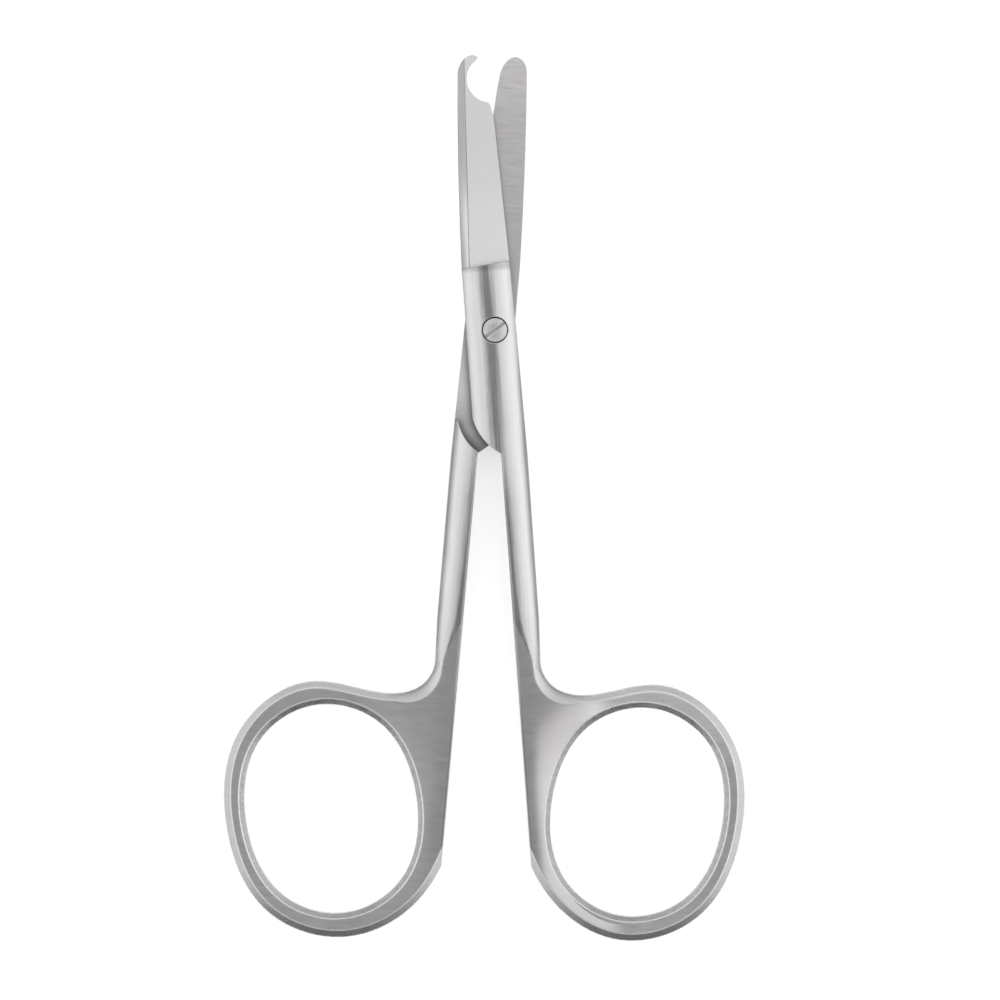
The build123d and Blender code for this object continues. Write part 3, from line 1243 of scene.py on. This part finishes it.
@dataclass
class Studio:
    """Pale floor, soft lamps, even surroundings and the camera straight above."""

    floor_size: float = 6.0
    floor_drop: float = 0.05 * MM
    floor_color: Triple = (0.86, 0.86, 0.86)
    floor_glow: float = 0.52
    glow_color: Triple = (1.0, 0.995, 0.995)
    side_reach: Pair = (0.30, 0.95)
    side_glow: Pair = (0.84, 1.28)
    left_reach: Pair = (-0.95, -0.30)
    left_share: float = 0.92
    front_reach: Pair = (-0.95, -0.35)
    front_share: float = 0.28
    above_reach: Pair = (0.92, 1.0)
    above_share: float = 0.27
    low_reach: Pair = (0.14, 0.46)
    low_share: float = 0.30
    view_centre: Pair = (0.65 * MM, -17.29 * MM)
    view_width: float = 101.87 * MM
    view_height: float = 1.6 * MM
    roll: float = math.radians(0.43)
    lens: float = 300.0
    sensor: float = 36.0
    clip: Pair = (0.01, 20.0)
    lamps: tuple[Softbox, ...] = (
        Softbox("lamp_right", (0.41, -0.017, 0.45), 0.62, 0.52, 0.16),
        Softbox("lamp_left", (-0.41, -0.017, 0.45), 0.62, 0.52, 0.10),
    )

    def lay_floor(self) -> None:
        """Makes the floor just under the scissors."""
        half = self.floor_size / 2
        turns = ((-1, -1), (1, -1), (1, 1), (-1, 1))
        mesh = bpy.data.meshes.new("studio_floor")
        mesh.from_pydata([(x * half, y * half, 0.0) for x, y in turns], [], [range(len(turns))])
        floor = bpy.data.objects.new("studio_floor", mesh)
        floor.location = (0.0, 0.0, CAD_BOX[0].z - self.floor_drop)
        bpy.context.scene.collection.objects.link(floor)
        mesh.materials.append(self.floor_material())

    def floor_material(self) -> bpy.types.Material:
        """Makes the floor pale for the scissors, and white to look at with their shadow on it.

        Returns:
            The new material.
        """
        made, graph = Graph.material("pale_floor")
        matte = graph.add("ShaderNodeBsdfDiffuse")
        matte.inputs["Color"].default_value = (*self.floor_color, 1.0)
        glow = graph.add("ShaderNodeEmission")
        rays = graph.add("ShaderNodeLightPath")
        shown = rays.outputs["Is Camera Ray"]
        for kind in ("Is Glossy Ray", "Is Transmission Ray"):
            shown = graph.joined("MAXIMUM", shown, rays.outputs[kind])
        strength = graph.add("ShaderNodeMath", operation="MULTIPLY")
        graph.link(shown, strength, 0)
        strength.inputs[1].default_value = self.floor_glow
        graph.link(strength.outputs[0], glow, "Strength")
        both = graph.add("ShaderNodeAddShader")
        graph.link(matte.outputs[0], both, 0)
        graph.link(glow.outputs[0], both, 1)
        output = graph.add("ShaderNodeOutputMaterial")
        graph.link(both.outputs[0], output, "Surface")
        return made

    def surround(self) -> None:
        """Makes the world, bright at the sides and darker in front, low down and overhead."""
        world = bpy.data.worlds.new("pale_surroundings")
        world.use_nodes = True
        bpy.context.scene.world = world
        graph = Graph(world.node_tree)
        parts = graph.add("ShaderNodeSeparateXYZ")
        graph.link(graph.add("ShaderNodeTexCoord").outputs["Generated"], parts, 0)
        side = graph.add("ShaderNodeMath", operation="ABSOLUTE")
        graph.link(parts.outputs["X"], side, 0)
        strength = graph.rise(side.outputs[0], self.side_reach, self.side_glow)
        for axis, reach, levels in (
            ("X", self.left_reach, (self.left_share, 1.0)),
            ("Y", self.front_reach, (self.front_share, 1.0)),
            ("Z", self.above_reach, (1.0, self.above_share)),
            ("Z", self.low_reach, (self.low_share, 1.0)),
        ):
            change = graph.rise(parts.outputs[axis], reach, levels)
            strength = graph.product(strength, change)
        back = graph.add("ShaderNodeBackground")
        back.inputs["Color"].default_value = (*self.glow_color, 1.0)
        graph.link(strength, back, "Strength")
        output = graph.add("ShaderNodeOutputWorld")
        graph.link(back.outputs[0], output, "Surface")

    def set_camera(self) -> None:
        """Hangs the camera straight above, rolled a little as the photograph is."""
        data = bpy.data.cameras.new("camera_above")
        data.lens, data.sensor_width = self.lens, self.sensor
        camera = bpy.data.objects.new("camera_above", data)
        rise = self.view_width * self.lens / self.sensor
        camera.location = (*self.view_centre, self.view_height + rise)
        camera.rotation_euler = (0.0, 0.0, self.roll)
        data.clip_start, data.clip_end = self.clip
        bpy.context.scene.collection.objects.link(camera)
        bpy.context.scene.camera = camera

    def build(self) -> None:
        """Sets up the whole studio."""
        self.lay_floor()
        self.surround()
        for lamp in self.lamps:
            lamp.hang()
        self.set_camera()
        bpy.context.scene.view_settings.view_transform = "Standard"


def main() -> None:
    """Dresses the pieces one by one, then sets up the studio around them."""
    logging.basicConfig(level=logging.INFO, format="%(name)s: %(message)s")
    for piece in (*(ScissorHalf(half) for half in Half), PivotScrew()):
        node = piece.dress()
        LOG.info("dressed %s, %d faces", node.name, len(node.data.polygons))
    studio = Studio()
    studio.build()
    LOG.info("set up the studio with %d lamps", len(studio.lamps))


if __name__ == "__main__":
    main()
